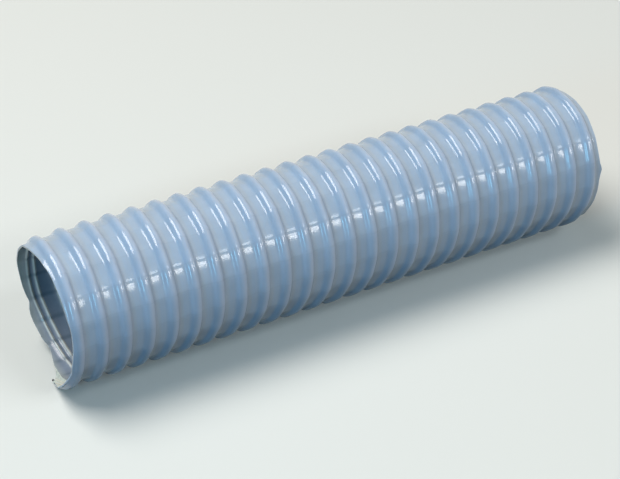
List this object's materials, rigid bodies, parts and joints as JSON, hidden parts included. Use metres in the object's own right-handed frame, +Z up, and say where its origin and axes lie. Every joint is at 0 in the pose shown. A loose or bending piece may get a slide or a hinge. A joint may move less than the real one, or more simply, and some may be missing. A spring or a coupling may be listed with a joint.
{
  "type": "flexible air duct",
  "caption": "Flexible air duct: cut length of two-ply plastic tube with a helical rib over a coated spring-steel wire.",
  "frame": {"origin": "on the surface that the duct lies on, under the middle of its length", "axes": "+X along the duct from its near end to its far end, -Y to the front, +Z up"},
  "size_m": [0.3223, 0.0834, 0.0821],
  "materials": {
    "inner_ply": "plasticised PVC sheet, semi-gloss grey-blue",
    "outer_ply": "plasticised PVC sheet, semi-gloss pale grey-blue, slightly translucent",
    "wire_coating": "PVC coating, extruded, pale grey",
    "wire_steel": "drawn spring steel, dark"
  },
  "bodies": {
    "root": {"inner_wall": "inner_ply", "outer_cover": "outer_ply", "wire_sheath": "wire_coating", "spring_wire": "wire_steel"}
  },
  "joints": []
}
